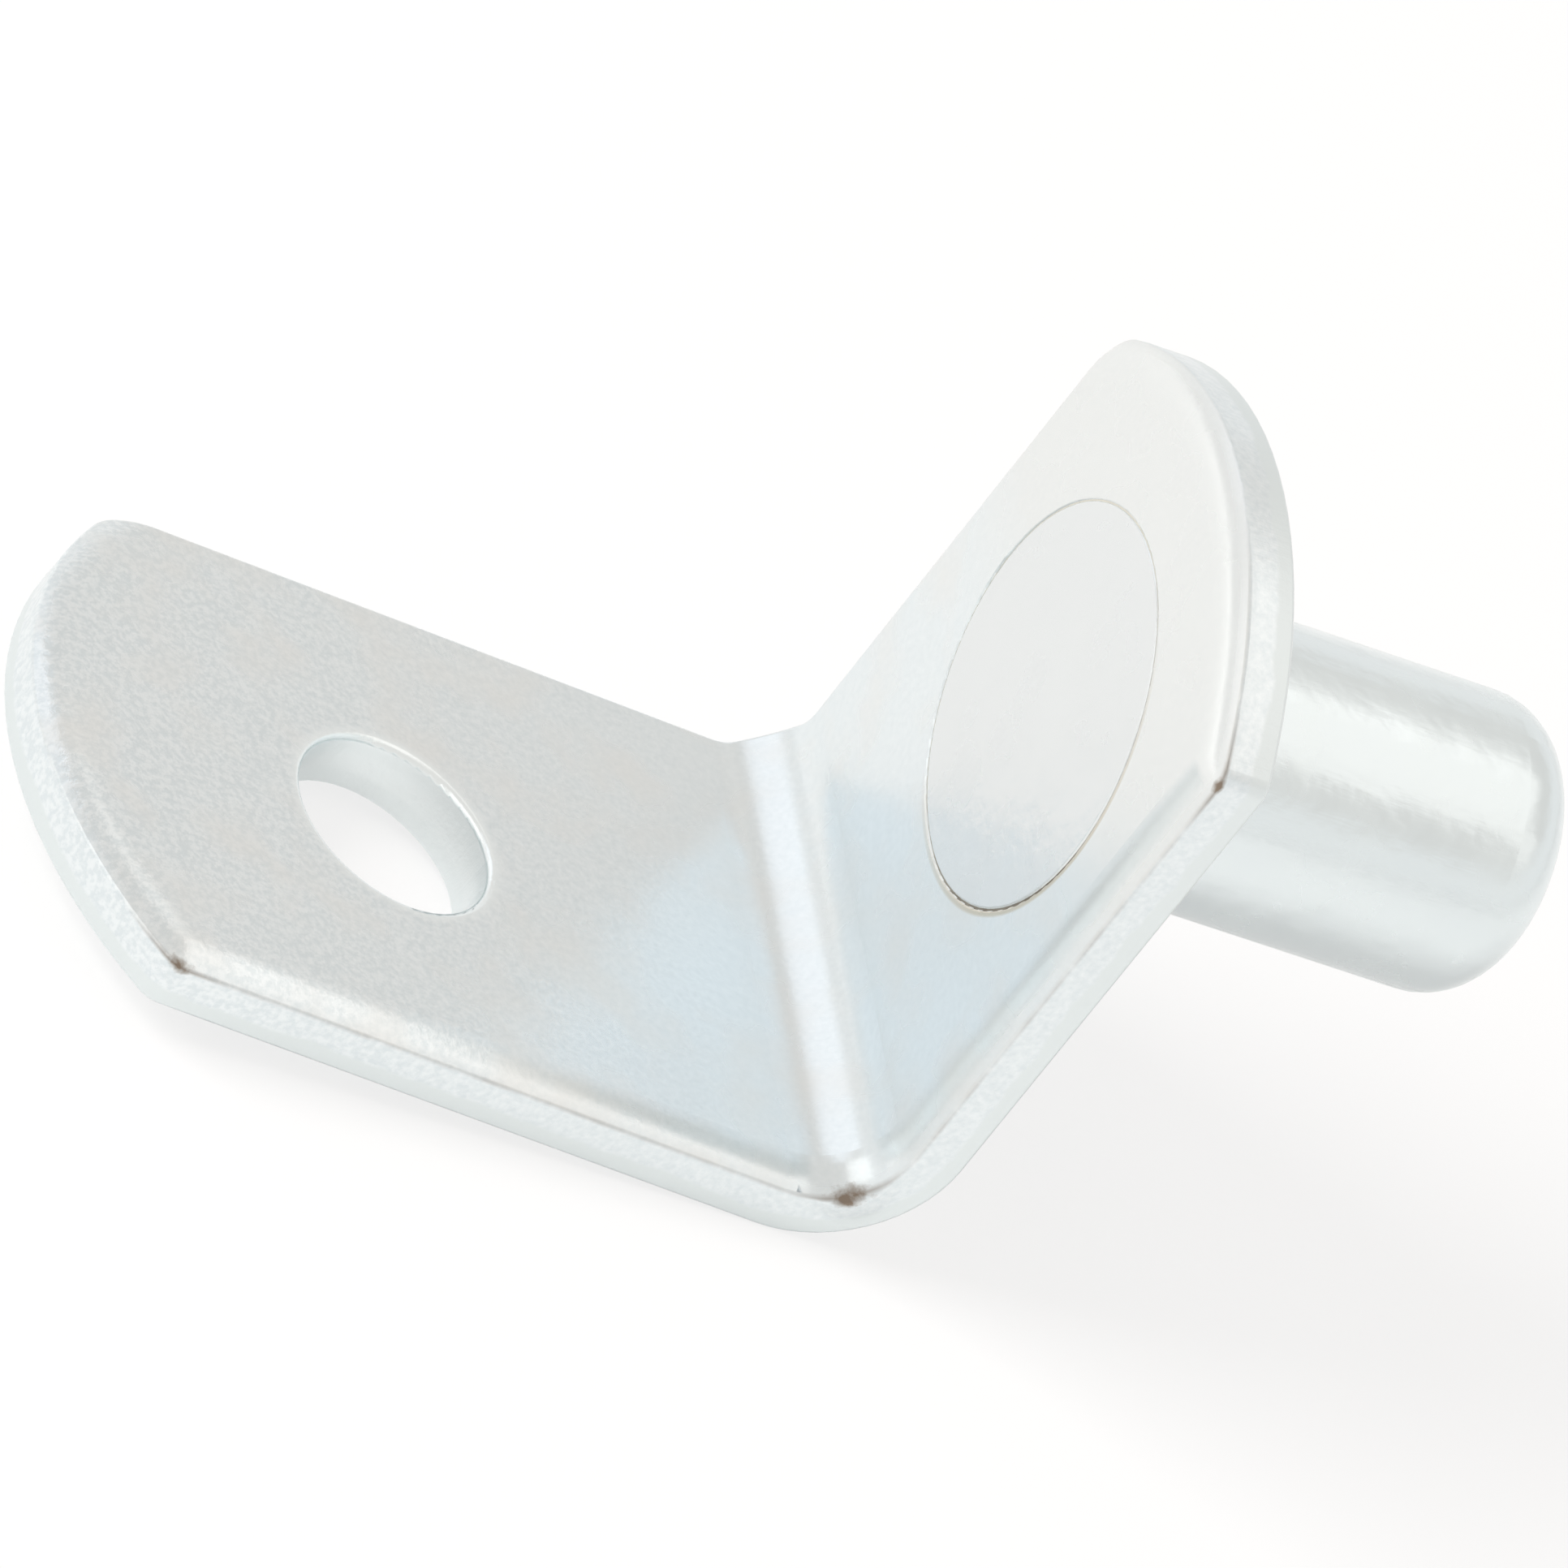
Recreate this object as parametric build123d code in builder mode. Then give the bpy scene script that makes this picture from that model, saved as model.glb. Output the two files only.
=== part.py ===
from build123d import *
import os
from math import sqrt

# Shelf support pin: an L-shaped steel plate, stamped and bent, with a headed pin pressed through one leg.
# The pin plugs into a hole in the cabinet side and the shelf's end sits in the angle of the plate.
# The origin is where the pin's axis crosses the face that lies against the cabinet side.
# +X runs along the pin into the cabinet side, +Z is up in use, and Y runs across the plate. Millimetres.

os.makedirs("parts", exist_ok=True)

# Plate
plate_width = 12.5
plate_thickness = 1.4
bend_inner_radius = 1.55
bend_past_square = 2.9  # degrees that the legs close past a right angle
shelf_leg_reach = 20.0  # from the wall face to the tip of the leg under the shelf
wall_leg_height = 17.0  # from the underside of the bend to the top of the leg against the wall
end_arc_radius = 9.2  # flatter than a half circle, so each end keeps two corners
corner_radius = 0.6
corner_slack = 0.02  # keeps the wide outline's corners just larger than the rolled rim's radius
rolled_rim_width = 0.85  # the die draws the inner face's rim down in a shallow curve, except along +Y
rolled_rim_depth = 0.32  # where that curve ends in a crease on the sheared side
tumbled_radius = 0.1  # takes the sharpness off the crease and the other rims

# Swelling at each end of the inner bend, where bending squeezes the metal out sideways
swelling_radius = 2.4
swelling_height = 0.17
swelling_depth = 0.15  # from the inner face to its centre
swelling_blend_radius = 1.0

# Screw hole in the shelf leg
hole_diameter = 4.5
hole_reach = 11.6  # from the wall face to the hole's centre
hole_rim_radius = 0.15

# Headed pin through the wall leg
pin_diameter = 6.35
pin_projection = 9.75  # out of the wall face
pin_tip_radius = 1.5
pin_height = 9.93  # from the underside of the bend to the pin's axis
head_diameter = 8.5
head_thickness = 0.8
land_diameter = 6.8  # the thicker stretch that grips the plate, between the head and the wall face
seam_edge_radius = 0.06  # eases both rims of the seam round the flush head
seat_clearance = 0.02  # all round the head and the land

# The plate's heel
bend_outer_radius = bend_inner_radius + plate_thickness
bend_centre = Vector(-bend_outer_radius, 0, bend_outer_radius - pin_height)
bend_turn = 90 + bend_past_square
along_shelf = Vector(-1, 0, 0).rotate(Axis.Y, bend_past_square)
above_shelf = Vector(0, 0, 1).rotate(Axis.Y, bend_past_square)

# The rolled rim is part of a rounding that would run on past the plate's sides
rolled_rim_radius = (rolled_rim_width**2 + rolled_rim_depth**2) / (2 * rolled_rim_depth)
rolled_rim_overrun = rolled_rim_radius - rolled_rim_width

# The inner face of each leg: x runs from the heel towards the leg's tip, and y towards the side at -Y
shelf_face = Plane(
    origin=bend_centre - above_shelf * bend_inner_radius - along_shelf * bend_outer_radius,
    x_dir=along_shelf,
    z_dir=above_shelf,
)
wall_face = Plane(origin=(-plate_thickness, 0, -pin_height), x_dir=(0, 0, 1), z_dir=(1, 0, 0))


def leg_outline(face, leg_reach, corner, corners=2, margin=0):
    """The plate's shape at one end: straight sides, a shallow arc across the tip and eased corners."""
    half_width = plate_width / 2 + margin
    reach = leg_reach + margin
    corner_reach = leg_reach - end_arc_radius + sqrt((end_arc_radius + margin) ** 2 - half_width**2)
    with BuildSketch(face) as outline:
        with BuildLine():
            first_side = Line((corner_reach, -half_width), (-reach, -half_width))
            heel_end = Line(first_side @ 1, (-reach, half_width))
            second_side = Line(heel_end @ 1, (corner_reach, half_width))
            ThreePointArc(second_side @ 1, (reach, 0), first_side @ 0)
        make_face()
        fillet(outline.vertices().group_by(Axis.X)[-1].sort_by(Axis.Y)[-corners:], corner)
    return outline.sketch


def plate_skins(plate):
    """The plate's inner faces and its outer faces, each with two legs and the bend between them."""
    shelf_sides = plate.faces().filter_by(Axis((0, 0, 0), above_shelf)).sort_by(Axis.Z)
    wall_sides = plate.faces().filter_by(Axis.X).sort_by(Axis.X)
    bend_sides = plate.faces().filter_by(GeomType.CYLINDER).sort_by_distance(bend_centre)
    inner_skin = ShapeList([shelf_sides[-1], bend_sides[0], wall_sides[0]])
    outer_skin = ShapeList([shelf_sides[0], bend_sides[1], wall_sides[-1]])
    return inner_skin, outer_skin


with BuildPart() as sheared_block:
    # The outlines of both legs cross in one block, with a low swelling on each side at the inner bend
    extrude(leg_outline(shelf_face, shelf_leg_reach, corner_radius), amount=2 * wall_leg_height, both=True)
    wall_outline = leg_outline(wall_face, wall_leg_height, corner_radius)
    extrude(wall_outline, amount=2 * shelf_leg_reach, both=True, mode=Mode.INTERSECT)
    into_heel = (Vector(1, 0, 0) - above_shelf).normalized()
    swelling_centre = bend_centre + into_heel * (bend_inner_radius + swelling_depth)
    swelling_offset = Vector(0, plate_width / 2 + swelling_height - swelling_radius, 0)
    with Locations(swelling_centre + swelling_offset, swelling_centre - swelling_offset):
        Sphere(swelling_radius)

with BuildPart() as bracket:
    # A strip of even thickness, bent round the heel, a little too wide and too long
    with BuildSketch(Plane.XZ) as strip:
        with BuildLine():
            wall_top = wall_leg_height - pin_height + rolled_rim_overrun
            wall_line = Line((-plate_thickness, wall_top), (-plate_thickness, bend_centre.Z))
            bend_arc = JernArc(wall_line @ 1, wall_line % 1, bend_inner_radius, -bend_turn)
            shelf_length = shelf_leg_reach - bend_outer_radius + rolled_rim_overrun
            shelf_line = Line(bend_arc @ 1, bend_arc @ 1 + (bend_arc % 1) * shelf_length)
            offset(amount=plate_thickness, side=Side.LEFT)
        make_face()
    extrude(amount=plate_width / 2 + rolled_rim_overrun, both=True)
    for face, reach in ((shelf_face, shelf_leg_reach), (wall_face, wall_leg_height)):
        wide_corner = rolled_rim_radius + corner_slack
        wide_outline = leg_outline(face, reach, wide_corner, corners=1, margin=rolled_rim_overrun)
        extrude(wide_outline, amount=2 * shelf_leg_reach, both=True, mode=Mode.INTERSECT)

    # The inner face's rim is rounded, all but its side at +Y, and the sides are sheared through the rounding
    inner_skin, outer_skin = plate_skins(bracket)
    inner_rim = inner_skin.edges().filter_by(Axis.Y, reverse=True)
    fillet(inner_rim.filter_by(lambda edge: edge.center().Y < plate_width / 2), rolled_rim_radius)
    add(sheared_block.part, mode=Mode.INTERSECT)
    swelling_rims = bracket.faces().filter_by(GeomType.SPHERE).edges().filter_by(GeomType.CIRCLE)
    fillet(swelling_rims, swelling_blend_radius)
    inner_skin, outer_skin = plate_skins(bracket)
    sharp_rims = outer_skin.edges().filter_by(Axis.Y, reverse=True)
    sharp_rims += inner_skin.edges().filter_by_position(Axis.Y, plate_width / 2 - 0.01, plate_width)
    fillet(sharp_rims, tumbled_radius)

    # Screw hole, punched from the inner face
    with Locations(shelf_face.location):
        with Locations((hole_reach, 0)):
            Hole(hole_diameter / 2, depth=plate_thickness)
    fillet(bracket.edges(Select.LAST).sort_by(Axis((0, 0, 0), above_shelf))[-1], hole_rim_radius)

    # Stepped seat that takes the pin's head flush with the inner face
    with Locations(Plane(origin=(-plate_thickness, 0, 0), z_dir=(-1, 0, 0)).location):
        CounterBoreHole(
            radius=land_diameter / 2 + seat_clearance,
            counter_bore_radius=head_diameter / 2 + seat_clearance,
            counter_bore_depth=head_thickness,
            depth=plate_thickness,
        )
    fillet(bracket.edges(Select.LAST).sort_by(Axis.X)[0], seam_edge_radius)
bracket.part.label = "bracket"

with BuildPart() as pin:
    # Half of the pin's section, turned about its axis
    with BuildSketch(Plane.XZ) as half_section:
        head_back = -plate_thickness
        head_step = head_back + head_thickness
        with BuildLine():
            Polyline(
                (head_back, 0),
                (head_back, head_diameter / 2),
                (head_step, head_diameter / 2),
                (head_step, land_diameter / 2),
                (0, land_diameter / 2),
                (0, pin_diameter / 2),
                (pin_projection, pin_diameter / 2),
                (pin_projection, 0),
                close=True,
            )
        make_face()
    revolve(axis=Axis.X)
    fillet(pin.edges().filter_by(GeomType.CIRCLE).sort_by(Axis.X)[0], seam_edge_radius)
    fillet(pin.edges().filter_by(GeomType.CIRCLE).sort_by(Axis.X)[-1], pin_tip_radius)
pin.part.label = "pin"

for piece in (bracket, pin):
    export_step(piece.part, f"parts/{piece.part.label}.step")
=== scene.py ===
from math import cos, pi, radians, sin

import bpy
from mathutils import Matrix, Vector


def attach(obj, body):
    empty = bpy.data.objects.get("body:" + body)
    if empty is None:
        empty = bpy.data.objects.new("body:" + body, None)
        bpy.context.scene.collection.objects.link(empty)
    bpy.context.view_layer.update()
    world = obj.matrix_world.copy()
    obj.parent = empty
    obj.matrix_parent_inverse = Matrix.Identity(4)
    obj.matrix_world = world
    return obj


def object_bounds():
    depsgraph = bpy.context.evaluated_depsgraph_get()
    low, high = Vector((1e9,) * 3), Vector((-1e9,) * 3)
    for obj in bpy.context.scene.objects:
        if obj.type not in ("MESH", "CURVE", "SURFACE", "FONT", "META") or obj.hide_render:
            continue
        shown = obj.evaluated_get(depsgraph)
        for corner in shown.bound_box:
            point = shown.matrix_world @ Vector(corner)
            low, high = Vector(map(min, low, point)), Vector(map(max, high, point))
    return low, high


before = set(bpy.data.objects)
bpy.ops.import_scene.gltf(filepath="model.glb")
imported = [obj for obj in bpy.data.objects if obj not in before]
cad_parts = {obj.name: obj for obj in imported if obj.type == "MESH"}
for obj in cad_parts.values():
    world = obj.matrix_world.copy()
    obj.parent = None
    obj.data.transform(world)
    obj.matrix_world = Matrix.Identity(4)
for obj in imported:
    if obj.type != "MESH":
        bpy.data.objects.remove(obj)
cad_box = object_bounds()
bpy.context.scene.view_settings.view_transform = "Standard"

# Camera
# A long lens from the front left and above, rolled as the part lies in the photograph.
mm = 0.001
picture_width = 1932
pixels_per_mm = 60.94
lens_distance = 460 * mm
view_azimuth = radians(33.38)
view_elevation = radians(34.26)
view_roll = radians(38.54)
aimed_at = Vector((-2.43, 3.91, -7.20)) * mm

view_direction = Vector((
    sin(view_azimuth) * cos(view_elevation),
    cos(view_azimuth) * cos(view_elevation),
    -sin(view_elevation),
))
camera_data = bpy.data.cameras.new("camera")
camera = bpy.data.objects.new("camera", camera_data)
bpy.context.scene.collection.objects.link(camera)
camera_data.sensor_width = 36
camera_data.lens = camera_data.sensor_width * pixels_per_mm * (lens_distance / mm) / picture_width
camera_data.clip_start = 10 * mm
upright = view_direction.to_track_quat("-Z", "Y").to_matrix()
camera.rotation_euler = (upright @ Matrix.Rotation(view_roll, 3, "Z")).to_euler()
camera.location = aimed_at - view_direction * lens_distance
bpy.context.scene.camera = camera

# Floor
# A plain white table. The camera sees it mostly as a light table, so the part's shadow stays faint,
# and the metal sees it partly so.
floor_size = 6
glow_in_camera = 0.75
glow_in_metal = 0.35


def linear(hex_colour):
    """An sRGB hex colour as linear RGBA."""
    channels = [int(hex_colour[i:i + 2], 16) / 255 for i in (1, 3, 5)]
    return [c / 12.92 if c <= 0.04045 else ((c + 0.055) / 1.055) ** 2.4 for c in channels] + [1]


def add(tree, kind, sockets=None, **settings):
    """Adds a node with its settings, and fills its sockets with values or with other nodes' outputs."""
    node = tree.nodes.new("ShaderNode" + kind)
    for name, value in settings.items():
        setattr(node, name, value)
    for name, value in (sockets or {}).items():
        if isinstance(value, bpy.types.NodeSocket):
            tree.links.new(value, node.inputs[name])
        else:
            node.inputs[name].default_value = value
    return node


bpy.ops.mesh.primitive_plane_add(size=floor_size, location=(0, 0, cad_box[0][2]))
floor = bpy.context.active_object
floor.name = "floor"
table = bpy.data.materials.new("white_table")
table.use_nodes = True
tree = table.node_tree
tree.nodes.clear()
path = add(tree, "LightPath")
mirrored = add(tree, "Math", {0: path.outputs["Is Glossy Ray"], 1: glow_in_metal}, operation="MULTIPLY")
share = add(tree, "Math", {
    0: path.outputs["Is Camera Ray"], 1: glow_in_camera, 2: mirrored.outputs[0],
}, operation="MULTIPLY_ADD")
paint = add(tree, "BsdfDiffuse", {"Color": linear("#f6f4f2")})
white = add(tree, "Emission", {"Color": linear("#ffffff"), "Strength": 1.0})
mixed = add(tree, "MixShader", {0: share.outputs[0], 1: paint.outputs[0], 2: white.outputs[0]})
add(tree, "OutputMaterial", {"Surface": mixed.outputs[0]})
floor.data.materials.append(table)

# Light
# A pale warm grey room, whiter towards the horizon, with soft boxes that draw the bright bands in the
# metal. Matt surfaces get less of the room, so that the floor keeps the part's shadow.
whitest_below, greyest_above = 0.27, 0.48  # as sines of the angle above the horizon
room_dimming = 0.35

world = bpy.data.worlds.new("pale_room")
bpy.context.scene.world = world
world.use_nodes = True
tree = world.node_tree
tree.nodes.clear()
path = add(tree, "LightPath")
place = add(tree, "TexCoord")
height = add(tree, "SeparateXYZ", {0: place.outputs["Generated"]})
climb = add(tree, "MapRange", {
    0: height.outputs["Z"], 1: whitest_below, 2: greyest_above,
}, interpolation_type="SMOOTHSTEP")
tone = add(tree, "Mix", {
    "Factor": climb.outputs[0], 6: linear("#f7f5f3"), 7: linear("#e7e3df"),
}, data_type="RGBA")
dimmed = add(tree, "Math", {
    0: path.outputs["Is Diffuse Ray"], 1: -room_dimming, 2: 1.0,
}, operation="MULTIPLY_ADD")
room = add(tree, "Background", {"Color": tone.outputs[2], "Strength": dimmed.outputs[0]})
white = add(tree, "Background", {"Color": linear("#ffffff"), "Strength": 1.0})
mixed = add(tree, "MixShader", {0: path.outputs["Is Camera Ray"], 1: room.outputs[0], 2: white.outputs[0]})
add(tree, "OutputWorld", {"Surface": mixed.outputs[0]})


def soft_box(name, azimuth, elevation, width, height, radiance, colour, in_metal=True):
    """A soft box 0.6 m away that faces the part. Radiance is what it adds to the room behind it."""
    distance = 0.6
    data = bpy.data.lights.new(name, "AREA")
    data.shape = "RECTANGLE"
    data.size = width
    data.size_y = height
    data.energy = radiance * pi * width * height
    data.color = linear(colour)[:3]
    lamp = bpy.data.objects.new(name, data)
    bpy.context.scene.collection.objects.link(lamp)
    turn, lift = radians(azimuth), radians(elevation)
    lamp.location = Vector((sin(turn) * cos(lift), cos(turn) * cos(lift), sin(lift))) * distance
    lamp.rotation_euler = (-lamp.location).to_track_quat("-Z", "Y").to_euler()
    lamp.visible_glossy = in_metal


soft_box(
    "back_left_box", azimuth=-33, elevation=33,
    width=0.34, height=0.38, radiance=0.36, colour="#e9f1ff",
)
soft_box(
    "left_box", azimuth=-92, elevation=32,
    width=0.55, height=0.3, radiance=0.45, colour="#ffffff",
)
soft_box(
    "back_overhead_box", azimuth=34, elevation=59,
    width=0.34, height=0.24, radiance=0.18, colour="#fffaf6",
)
soft_box(
    "right_overhead_box", azimuth=104, elevation=63,
    width=0.56, height=0.34, radiance=0.34, colour="#fffaf6",
)
soft_box(
    "right_box", azimuth=122, elevation=35,
    width=0.22, height=0.2, radiance=0.26, colour="#fffaf6",
)
# The shadow on the table comes from this one, and the metal doesn't mirror it
soft_box(
    "table_box", azimuth=-80, elevation=34,
    width=0.34, height=0.34, radiance=9.6, colour="#ffffff", in_metal=False,
)

# Bracket
# Mild steel strip, stamped, bent and bright zinc plated. The flat faces keep the strip's fine grain,
# and the sheared side has a smooth cut band next to the rolled rim and a torn band next to the outer face.
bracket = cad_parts["bracket"]

# The plate's sizes in millimetres, as in the CAD
plate_thickness = 1.4
bend_inner_radius = 1.55
bend_past_square = radians(2.9)
pin_height = 9.93
hole_reach = 11.6
hole_radius = 2.25
head_radius = 4.26
crease_depth = 0.34

bend_outer_radius = bend_inner_radius + plate_thickness
bend_centre = Vector((-bend_outer_radius, 0, bend_outer_radius - pin_height))
along_shelf = Vector((-cos(bend_past_square), 0, sin(bend_past_square)))
above_shelf = Vector((sin(bend_past_square), 0, cos(bend_past_square)))
heel = bend_centre - above_shelf * bend_inner_radius - along_shelf * bend_outer_radius
hole_centre = heel + along_shelf * hole_reach

# Bright zinc with a thin clear film on cold rolled steel: a pale blue-white metal, satin and faintly mottled
zinc_in_pits = linear("#e1e9ec")
zinc_on_peaks = linear("#eef4f6")
filmed_zinc = linear("#ebebe8")
torn_zinc = linear("#e6edee")
burnished_and_lit_zinc = linear("#f4fafb")
# Painted shade for the line beside the seam
seam_shade_tone = linear("#cdc5b2")
# Painted shade for the crease, its near corners and the end of the bend
brown_crease_shade = linear("#8d8073")

zinc = bpy.data.materials.new("bright_zinc_on_stamped_steel")
zinc.use_nodes = True
tree = zinc.node_tree
tree.nodes.clear()
place = add(tree, "TexCoord")
in_mm = add(tree, "VectorMath", {0: place.outputs["Object"], "Scale": 1 / mm}, operation="SCALE")

# The way through the plate's thickness: out from the line that the bend turns about, square to each leg
from_bend = add(tree, "VectorMath", {0: in_mm.outputs[0], 1: bend_centre}, operation="SUBTRACT")
section = add(tree, "VectorMath", {0: from_bend.outputs[0], 1: (1, 0, 1)}, operation="MULTIPLY")
height = add(tree, "SeparateXYZ", {0: section.outputs[0]})
up_wall = add(tree, "Math", {0: height.outputs["Z"], 1: 0.0}, operation="MAXIMUM")
up_vector = add(tree, "CombineXYZ", {"Z": up_wall.outputs[0]})
out_shelf = add(tree, "VectorMath", {0: section.outputs[0], 1: along_shelf}, operation="DOT_PRODUCT")
past_bend = add(tree, "Math", {0: out_shelf.outputs["Value"], 1: 0.0}, operation="MAXIMUM")
out_vector = add(tree, "VectorMath", {0: along_shelf, "Scale": past_bend.outputs[0]}, operation="SCALE")
leg_run = add(tree, "VectorMath", {0: up_vector.outputs[0], 1: out_vector.outputs[0]}, operation="ADD")
through = add(tree, "VectorMath", {0: section.outputs[0], 1: leg_run.outputs[0]}, operation="SUBTRACT")
radius = add(tree, "VectorMath", {0: through.outputs[0]}, operation="LENGTH")
depth = add(tree, "Math", {0: radius.outputs["Value"], 1: bend_inner_radius}, operation="SUBTRACT")

# Sheared side: scratches run straight through the thickness, drawn 0.2 mm apart so that they show.
# Their pattern runs round the bend as on an arc of the mid radius.
scratches_per_mm = 5.0
bend_mid_radius = 2.3
direction = add(tree, "VectorMath", {0: through.outputs[0]}, operation="NORMALIZE")
round_bend = add(tree, "VectorMath", {0: direction.outputs[0], "Scale": bend_mid_radius}, operation="SCALE")
across = add(tree, "VectorMath", {0: in_mm.outputs[0], 1: (0, 1, 0)}, operation="MULTIPLY")
along_edge = add(tree, "VectorMath", {0: leg_run.outputs[0], 1: across.outputs[0]}, operation="ADD")
edge_place = add(tree, "VectorMath", {0: along_edge.outputs[0], 1: round_bend.outputs[0]}, operation="ADD")
scratches = add(tree, "TexNoise", {
    "Vector": edge_place.outputs[0], "Scale": scratches_per_mm, "Detail": 3.0, "Roughness": 0.6,
})
facing = add(tree, "VectorMath", {
    0: direction.outputs[0], 1: place.outputs["Normal"],
}, operation="DOT_PRODUCT")
flatness = add(tree, "Math", {0: facing.outputs["Value"]}, operation="ABSOLUTE")
side = add(tree, "MapRange", {0: flatness.outputs[0], 1: 0.6, 2: 0.3})

# Grain of the flat faces: pits and peaks about 0.15 mm apart, deeper towards the shelf leg's tip,
# under a slow waviness of the strip, about 2 mm wide
grains_per_mm = 7.0
waves_per_mm = 0.55
depth_at_bend, depth_at_tip = 0.4, 2.2  # of the grain, where 1.0 is the sheared side's
deepest_past_bend = 16.0
grain = add(tree, "TexNoise", {
    "Vector": in_mm.outputs[0], "Scale": grains_per_mm, "Detail": 3.0, "Roughness": 0.6,
})
waviness = add(tree, "TexNoise", {
    "Vector": in_mm.outputs[0], "Scale": waves_per_mm, "Detail": 2.0, "Roughness": 0.5,
})
coarser = add(tree, "MapRange", {
    0: out_shelf.outputs["Value"], 1: 0.0, 2: deepest_past_bend, 3: depth_at_bend, 4: depth_at_tip,
})
coarsest = add(tree, "Math", {0: coarser.outputs[0], 1: side.outputs[0]}, operation="MAXIMUM")
level_grain = add(tree, "Math", {0: grain.outputs["Fac"], 1: 0.5}, operation="SUBTRACT")
deep_grain = add(tree, "Math", {0: level_grain.outputs[0], 1: coarsest.outputs[0]}, operation="MULTIPLY")

# Torn band: a duller, greyer stretch of the sheared side, whose edge wanders between two depths
torn_edge_turns_per_mm = 0.9
torn_from, torn_to = 0.75, 1.15
torn_line = add(tree, "TexNoise", {
    "Vector": edge_place.outputs[0], "Scale": torn_edge_turns_per_mm, "Detail": 4.0, "Roughness": 0.6,
})
torn_start = add(tree, "MapRange", {0: torn_line.outputs["Fac"], 3: torn_from, 4: torn_to})
torn_depth = add(tree, "Math", {0: depth.outputs[0], 1: torn_start.outputs[0]}, operation="SUBTRACT")
torn = add(tree, "MapRange", {0: torn_depth.outputs[0], 1: -0.03, 2: 0.06})
torn_side = add(tree, "Math", {0: torn.outputs[0], 1: side.outputs[0]}, operation="MULTIPLY")

# Distance from the screw hole's axis and from the pin's, for the hole's burr, the painted light in the hole
# and the seam round the head
burr_width = 0.35
burr_full_width = 0.05
from_hole = add(tree, "VectorMath", {0: in_mm.outputs[0], 1: hole_centre}, operation="SUBTRACT")
off_axis = add(tree, "VectorMath", {0: from_hole.outputs[0], 1: above_shelf}, operation="CROSS_PRODUCT")
hole_distance = add(tree, "VectorMath", {0: off_axis.outputs[0]}, operation="LENGTH")
near_hole = add(tree, "MapRange", {
    0: hole_distance.outputs["Value"], 1: hole_radius + burr_width, 2: hole_radius + burr_full_width,
})
off_pin = add(tree, "VectorMath", {0: in_mm.outputs[0], 1: (0, 1, 1)}, operation="MULTIPLY")
pin_distance = add(tree, "VectorMath", {0: off_pin.outputs[0]}, operation="LENGTH")

# Painted shade: the crease between the rolled rim and the sheared side holds a thin dark line along the near
# side, broken here and there
crease_half_width = 0.07
near_side_from, near_side_to = -6.0, -6.2
breaks_per_mm = 0.8
faintest_line, darkest_line = 0.06, 0.36
off_crease = add(tree, "Math", {0: depth.outputs[0], 1: crease_depth}, operation="SUBTRACT")
crease_offset = add(tree, "Math", {0: off_crease.outputs[0]}, operation="ABSOLUTE")
crease = add(tree, "MapRange", {0: crease_offset.outputs[0], 1: crease_half_width, 2: 0.0})
outer_rim = add(tree, "Math", {0: 1.0, 1: near_hole.outputs[0]}, operation="SUBTRACT")
rim_crease = add(tree, "Math", {0: crease.outputs[0], 1: outer_rim.outputs[0]}, operation="MULTIPLY")
aside = add(tree, "SeparateXYZ", {0: in_mm.outputs[0]})
long_side = add(tree, "MapRange", {0: aside.outputs["Y"], 1: near_side_from, 2: near_side_to})
breaks = add(tree, "TexNoise", {
    "Vector": edge_place.outputs[0], "Scale": breaks_per_mm, "Detail": 4.0, "Roughness": 0.7,
})
unbroken = add(tree, "MapRange", {
    0: breaks.outputs["Fac"], 1: 0.35, 2: 0.65, 3: faintest_line, 4: darkest_line,
})
long_line = add(tree, "Math", {0: unbroken.outputs[0], 1: long_side.outputs[0]}, operation="MULTIPLY")
crease_shade_line = add(tree, "Math", {0: rim_crease.outputs[0], 1: long_line.outputs[0]}, operation="MULTIPLY")

# Painted shade, brown-grey, gathers in the crease at both near corners and at the end of the bend, with
# ragged outlines. Each narrows away from the crease and runs out along it in a tail.
shelf_tip_shade = ((-17.55, -6.2, -8.15), 0.44)
wall_top_shade = ((-1.06, -6.22, 4.45), 0.34)
bend_end_shade = ((-1.76, -6.42, -8.5), 0.66)
rags_per_mm = 4.0
narrowing = 1.8
raggedness = 1.4
tail_length, tail_start, tail_strength = 1.6, 0.3, 0.7
rags = add(tree, "TexNoise", {
    "Vector": in_mm.outputs[0], "Scale": rags_per_mm, "Detail": 3.0, "Roughness": 0.6,
})
painted_crease_shade = crease_shade_line
for centre, reach in (shelf_tip_shade, wall_top_shade, bend_end_shade):
    away = add(tree, "VectorMath", {0: in_mm.outputs[0], 1: centre}, operation="DISTANCE")
    spread = add(tree, "Math", {
        0: crease_offset.outputs[0], 1: narrowing, 2: away.outputs["Value"],
    }, operation="MULTIPLY_ADD")
    ragged = add(tree, "Math", {
        0: rags.outputs["Fac"], 1: -raggedness * reach, 2: spread.outputs[0],
    }, operation="MULTIPLY_ADD")
    spot = add(tree, "MapRange", {0: ragged.outputs[0], 1: 0.35 * reach, 2: -0.4 * reach})
    tail = add(tree, "MapRange", {
        0: away.outputs["Value"], 1: tail_length, 2: tail_start, 4: tail_strength,
    })
    tail_line = add(tree, "Math", {0: tail.outputs[0], 1: rim_crease.outputs[0]}, operation="MULTIPLY")
    crease_corner_shade = add(tree, "Math", {0: spot.outputs[0], 1: tail_line.outputs[0]}, operation="MAXIMUM")
    painted_crease_shade = add(tree, "Math", {0: painted_crease_shade.outputs[0], 1: crease_corner_shade.outputs[0]}, operation="MAXIMUM")
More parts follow.
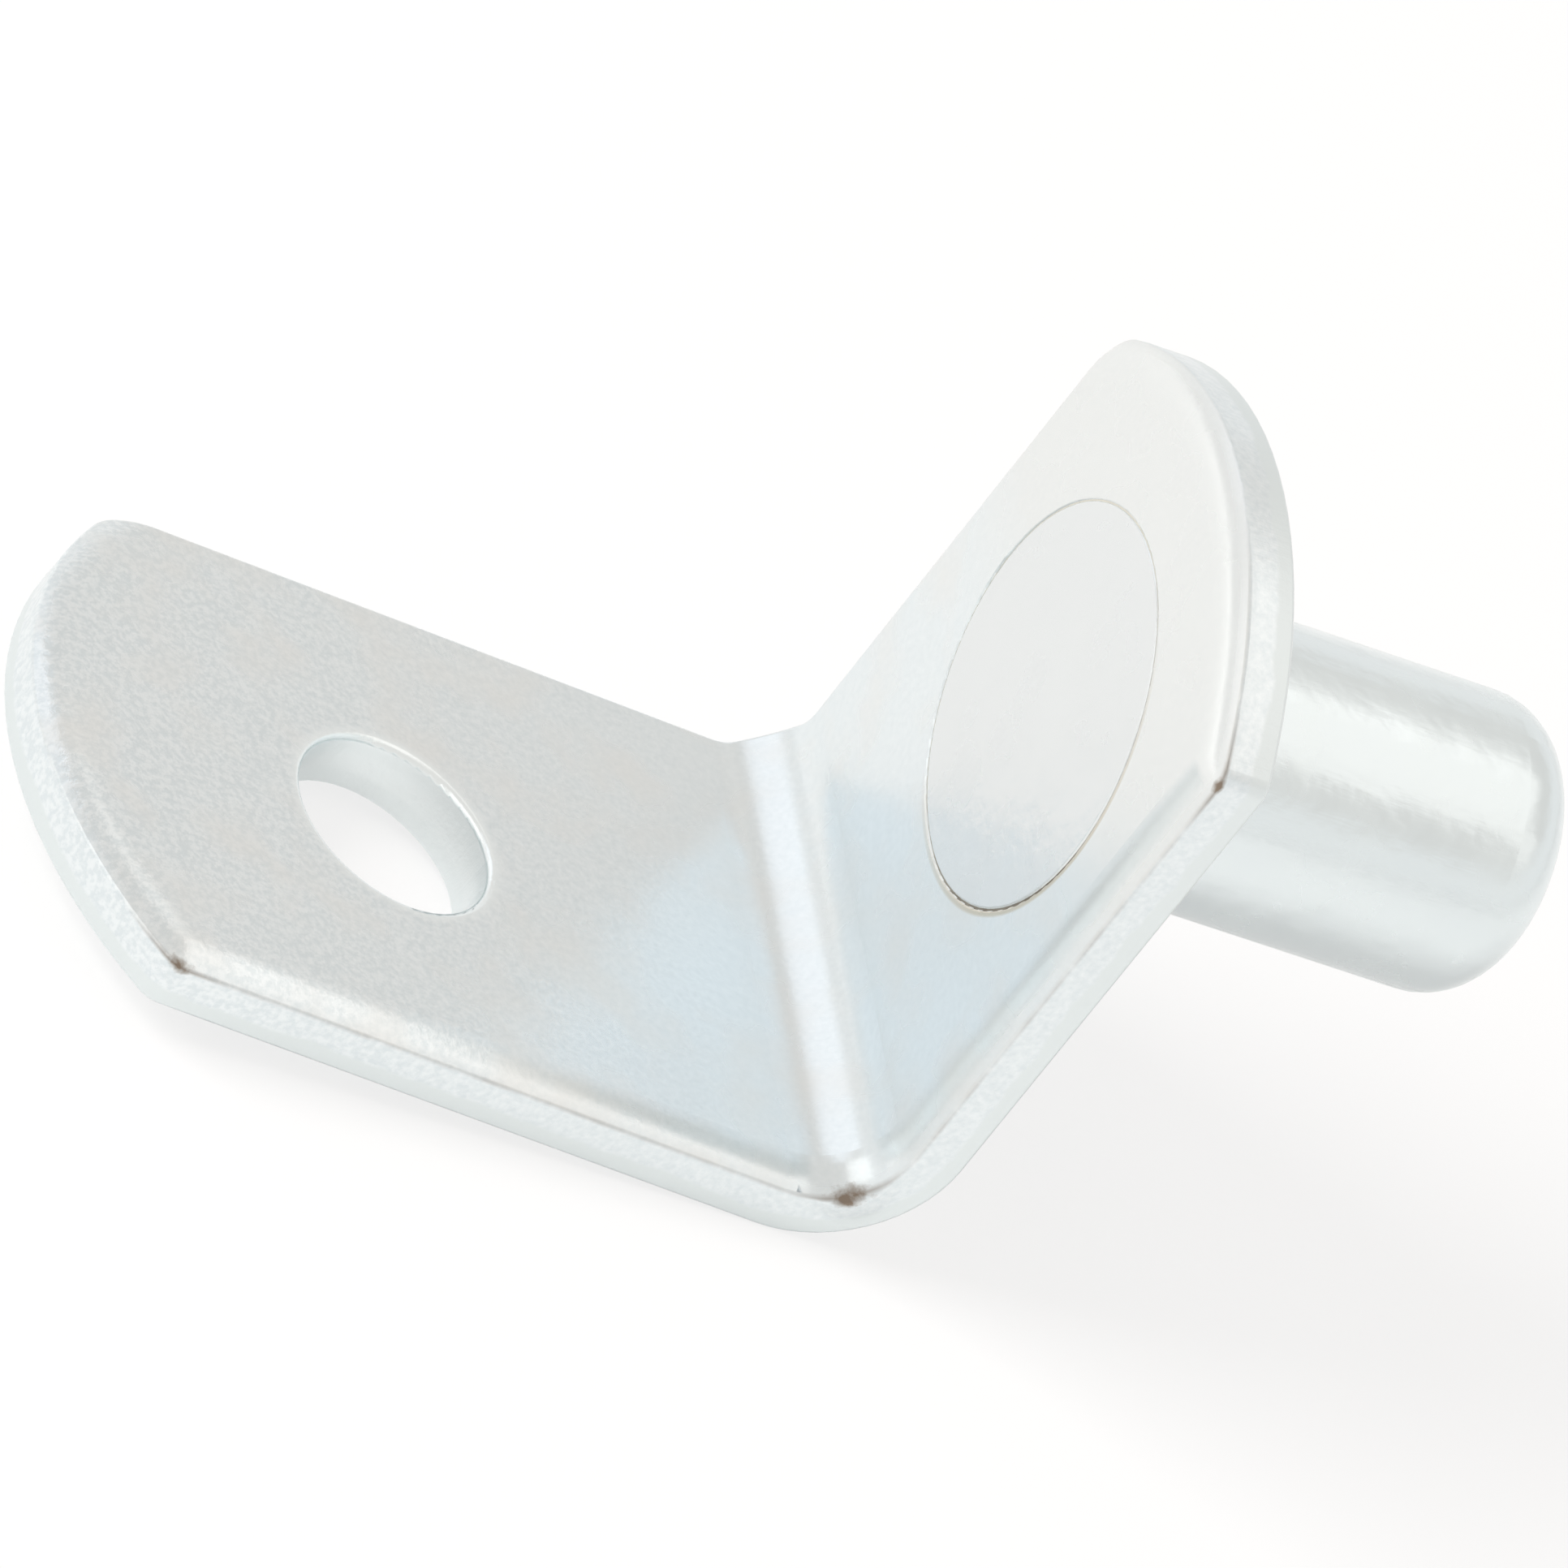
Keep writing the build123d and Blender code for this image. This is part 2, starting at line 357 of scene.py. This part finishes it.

# A thin line of painted shade, yellow-grey, lies on the plate's inner face beside the seam, round its lower
# near side
lower_near_way = (0, -0.9, -0.4)
shade_off_seam = 0.09
seam_shade_strength = 0.8
shade_from_depth, shade_full_depth = 0.3, 0.2
off_seam = add(tree, "Math", {
    0: pin_distance.outputs["Value"], 1: head_radius + shade_off_seam,
}, operation="SUBTRACT")
seam_offset = add(tree, "Math", {0: off_seam.outputs[0]}, operation="ABSOLUTE")
seam_line = add(tree, "MapRange", {0: seam_offset.outputs[0], 1: 0.09, 2: 0.03})
lower_near = add(tree, "VectorMath", {0: in_mm.outputs[0], 1: lower_near_way}, operation="DOT_PRODUCT")
shaded_side = add(tree, "MapRange", {0: lower_near.outputs["Value"], 1: 0.0, 2: 4.0, 4: seam_shade_strength})
inner_face = add(tree, "MapRange", {0: depth.outputs[0], 1: shade_from_depth, 2: shade_full_depth})
inner_seam_shade = add(tree, "Math", {0: shaded_side.outputs[0], 1: inner_face.outputs[0]}, operation="MULTIPLY")
painted_seam_shade = add(tree, "Math", {0: seam_line.outputs[0], 1: inner_seam_shade.outputs[0]}, operation="MULTIPLY")

# Colour: darker in the pits, and greyer where the film is thicker, in patches and high on the wall leg
film_from_height, film_full_height = 5.0, 8.0
film_share = 0.5
colour_grain = add(tree, "MapRange", {0: deep_grain.outputs[0], 1: -0.2, 2: 0.2})
plain = add(tree, "Mix", {
    "Factor": colour_grain.outputs[0], 6: zinc_in_pits, 7: zinc_on_peaks,
}, data_type="RGBA")
film_patches = add(tree, "MapRange", {0: waviness.outputs["Fac"], 1: 0.45, 2: 0.7, 4: film_share})
upper_wall = add(tree, "MapRange", {
    0: up_wall.outputs[0], 1: film_from_height, 2: film_full_height, 4: film_share,
})
film = add(tree, "Math", {0: film_patches.outputs[0], 1: upper_wall.outputs[0]}, operation="MAXIMUM")
off_side = add(tree, "Math", {0: 1.0, 1: side.outputs[0]}, operation="SUBTRACT")
flat_film = add(tree, "Math", {0: film.outputs[0], 1: off_side.outputs[0]}, operation="MULTIPLY")
filmed = add(tree, "Mix", {
    "Factor": flat_film.outputs[0], 6: plain.outputs[2], 7: filmed_zinc,
}, data_type="RGBA")
tinted = add(tree, "Mix", {
    "Factor": torn_side.outputs[0], 6: filmed.outputs[2], 7: torn_zinc,
}, data_type="RGBA")
# The hole's wall and rim are paler: burnished by the punch, and painted light that brightens the hole
burnished_and_lit = add(tree, "Mix", {
    "Factor": near_hole.outputs[0], 6: tinted.outputs[2], 7: burnished_and_lit_zinc,
}, data_type="RGBA")
# Painted shade beside the seam, on its lower near side
seam_shaded = add(tree, "Mix", {
    "Factor": painted_seam_shade.outputs[0], 6: burnished_and_lit.outputs[2], 7: seam_shade_tone,
}, data_type="RGBA")
# Painted shade in the crease, with ragged patches at the near corners and the end of the bend
crease_shaded = add(tree, "Mix", {
    "Factor": painted_crease_shade.outputs[0], 6: seam_shaded.outputs[2], 7: brown_crease_shade,
}, data_type="RGBA")

# Roughness: uneven on the flat faces, and highest in the torn band and in the crease
flat_smoothest, flat_roughest = 0.24, 0.3
side_roughness = 0.3
torn_roughness = 0.42
crease_roughness = 0.36
rough_flat = add(tree, "MapRange", {
    0: waviness.outputs["Fac"], 1: 0.3, 2: 0.7, 3: flat_smoothest, 4: flat_roughest,
})
rough = add(tree, "Mix", {
    "Factor": side.outputs[0], 2: rough_flat.outputs[0], 3: side_roughness,
}, data_type="FLOAT")
rougher = add(tree, "Mix", {
    "Factor": torn_side.outputs[0], 2: rough.outputs[0], 3: torn_roughness,
}, data_type="FLOAT")
eased = add(tree, "MapRange", {0: crease_offset.outputs[0], 1: 0.16, 2: 0.08, 3: 0.0, 4: 1.0})
roughest = add(tree, "Mix", {
    "Factor": eased.outputs[0], 2: rougher.outputs[0], 3: crease_roughness,
}, data_type="FLOAT")

# Relief: grain over the strip's waviness, then the side's scratches and the burr at the hole's rim
grain_height = 0.005 * mm
wave_height = 0.01 * mm
scratch_height = 0.006 * mm
burr_height = 0.008 * mm
grain_bump = add(tree, "Bump", {"Height": deep_grain.outputs[0], "Distance": grain_height})
wavy_bump = add(tree, "Bump", {
    "Height": waviness.outputs["Fac"], "Distance": wave_height, "Normal": grain_bump.outputs[0],
})
side_scratches = add(tree, "Math", {0: scratches.outputs["Fac"], 1: side.outputs[0]}, operation="MULTIPLY")
scratch_bump = add(tree, "Bump", {
    "Height": side_scratches.outputs[0], "Distance": scratch_height, "Normal": wavy_bump.outputs[0],
})
burr = add(tree, "Math", {0: rags.outputs["Fac"], 1: near_hole.outputs[0]}, operation="MULTIPLY")
burr_bump = add(tree, "Bump", {
    "Height": burr.outputs[0], "Distance": burr_height, "Normal": scratch_bump.outputs[0],
})
shader = add(tree, "BsdfPrincipled", {
    "Base Color": crease_shaded.outputs[2],
    "Metallic": 1.0,
    "Roughness": roughest.outputs[0],
    "Normal": burr_bump.outputs[0],
})
add(tree, "OutputMaterial", {"Surface": shader.outputs[0]})
bracket.data.materials.clear()
bracket.data.materials.append(zinc)

# Seam fill
# A ring of zinc and drawing soap that closes the seam round the pin's head, just under the face.
# It is pale, with painted shade of the groove, grey and ragged, at the lower near side.
seam_inner_radius = 4.18
seam_outer_radius = 4.34
seam_under_face = 0.035
seam_fill_thickness = 0.04
ring_corners = 160
ring_centre = ((seam_under_face - plate_thickness) * mm, 0, 0)

bpy.ops.object.select_all(action="DESELECT")
bpy.ops.mesh.primitive_circle_add(
    vertices=ring_corners, radius=seam_inner_radius * mm, location=ring_centre, rotation=(0, radians(90), 0),
)
seam_fill = bpy.context.active_object
seam_fill.name = "seam_fill"
bpy.ops.object.transform_apply(location=True, rotation=True, scale=True)
bpy.ops.object.mode_set(mode="EDIT")
bpy.ops.mesh.select_all(action="SELECT")
bpy.ops.mesh.extrude_edges_move()
widen = seam_outer_radius / seam_inner_radius
bpy.ops.transform.resize(value=(1, widen, widen), center_override=ring_centre)
bpy.ops.mesh.select_all(action="SELECT")
bpy.ops.mesh.solidify(thickness=seam_fill_thickness * mm)
bpy.ops.mesh.normals_make_consistent(inside=False)
bpy.ops.object.mode_set(mode="OBJECT")

# Dull zinc and dried soap: a pale grey-yellow, rough film over metal, with painted shade in ragged patches
# towards the lower near side
clean_film = linear("#e4e2d8")
seam_shade_film = linear("#8a8276")
patches_per_mm = 0.9
patchiness = 5.0

seam_film = bpy.data.materials.new("dull_zinc_and_soap_film")
seam_film.use_nodes = True
tree = seam_film.node_tree
tree.nodes.clear()
place = add(tree, "TexCoord")
in_mm = add(tree, "VectorMath", {0: place.outputs["Object"], "Scale": 1 / mm}, operation="SCALE")
lower_near = add(tree, "VectorMath", {0: in_mm.outputs[0], 1: lower_near_way}, operation="DOT_PRODUCT")
patches = add(tree, "TexNoise", {
    "Vector": in_mm.outputs[0], "Scale": patches_per_mm, "Detail": 3.0, "Roughness": 0.6,
})
uneven = add(tree, "Math", {
    0: patches.outputs["Fac"], 1: patchiness, 2: lower_near.outputs["Value"],
}, operation="MULTIPLY_ADD")
# Painted shade of the groove, ragged, towards the lower near side
groove_shade = add(tree, "MapRange", {0: uneven.outputs[0], 1: 2.0, 2: 6.5})
film_colour = add(tree, "Mix", {
    "Factor": groove_shade.outputs[0], 6: clean_film, 7: seam_shade_film,
}, data_type="RGBA")
shader = add(tree, "BsdfPrincipled", {
    "Base Color": film_colour.outputs[2], "Metallic": 1.0, "Roughness": 0.5,
})
add(tree, "OutputMaterial", {"Surface": shader.outputs[0]})
seam_fill.data.materials.append(seam_film)
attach(seam_fill, "root")

# Pin
# Drawn steel bar, cold headed and bright zinc plated, smoother than the plate it is pressed into.
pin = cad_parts["pin"]

# Bright zinc on drawn bar: the same pale metal, a little greyer on the head's face, with faint lines
# along the bar from the drawing die, drawn 0.25 mm apart so that they show
cloud_zinc = linear("#e3ebee")
clear_zinc = linear("#ecf4f5")
head_zinc = linear("#e6eaeb")
lines_per_mm = 4.0
line_stretch = 0.12
bar_grains_per_mm = 6.5
clouds_per_mm = 0.6
head_colour_from, head_colour_full = 0.2, 0.05  # depths under the head's face
bar_smoothest, bar_roughest = 0.2, 0.3
cloud_height = 0.06 * mm
line_height = 0.006 * mm
bar_grain_height = 0.003 * mm

bar_zinc = bpy.data.materials.new("bright_zinc_on_drawn_steel")
bar_zinc.use_nodes = True
tree = bar_zinc.node_tree
tree.nodes.clear()
place = add(tree, "TexCoord")
in_mm = add(tree, "VectorMath", {0: place.outputs["Object"], "Scale": 1 / mm}, operation="SCALE")
stretched = add(tree, "VectorMath", {0: in_mm.outputs[0], 1: (line_stretch, 1, 1)}, operation="MULTIPLY")
lines = add(tree, "TexNoise", {
    "Vector": stretched.outputs[0], "Scale": lines_per_mm, "Detail": 3.0, "Roughness": 0.6,
})
grain = add(tree, "TexNoise", {
    "Vector": in_mm.outputs[0], "Scale": bar_grains_per_mm, "Detail": 3.0, "Roughness": 0.6,
})
clouds = add(tree, "TexNoise", {
    "Vector": in_mm.outputs[0], "Scale": clouds_per_mm, "Detail": 3.0, "Roughness": 0.55,
})
shank = add(tree, "Mix", {
    "Factor": clouds.outputs["Fac"], 6: cloud_zinc, 7: clear_zinc,
}, data_type="RGBA")
along_pin = add(tree, "SeparateXYZ", {0: in_mm.outputs[0]})
head_face = add(tree, "MapRange", {
    0: along_pin.outputs["X"], 1: head_colour_from - plate_thickness, 2: head_colour_full - plate_thickness,
})
tone = add(tree, "Mix", {
    "Factor": head_face.outputs[0], 6: shank.outputs[2], 7: head_zinc,
}, data_type="RGBA")
rough = add(tree, "MapRange", {
    0: clouds.outputs["Fac"], 1: 0.3, 2: 0.7, 3: bar_smoothest, 4: bar_roughest,
})
cloud_bump = add(tree, "Bump", {"Height": clouds.outputs["Fac"], "Distance": cloud_height})
line_bump = add(tree, "Bump", {
    "Height": lines.outputs["Fac"], "Distance": line_height, "Normal": cloud_bump.outputs[0],
})
grain_bump = add(tree, "Bump", {
    "Height": grain.outputs["Fac"], "Distance": bar_grain_height, "Normal": line_bump.outputs[0],
})
shader = add(tree, "BsdfPrincipled", {
    "Base Color": tone.outputs[2],
    "Metallic": 1.0,
    "Roughness": rough.outputs[0],
    "Normal": grain_bump.outputs[0],
})
add(tree, "OutputMaterial", {"Surface": shader.outputs[0]})
pin.data.materials.clear()
pin.data.materials.append(bar_zinc)
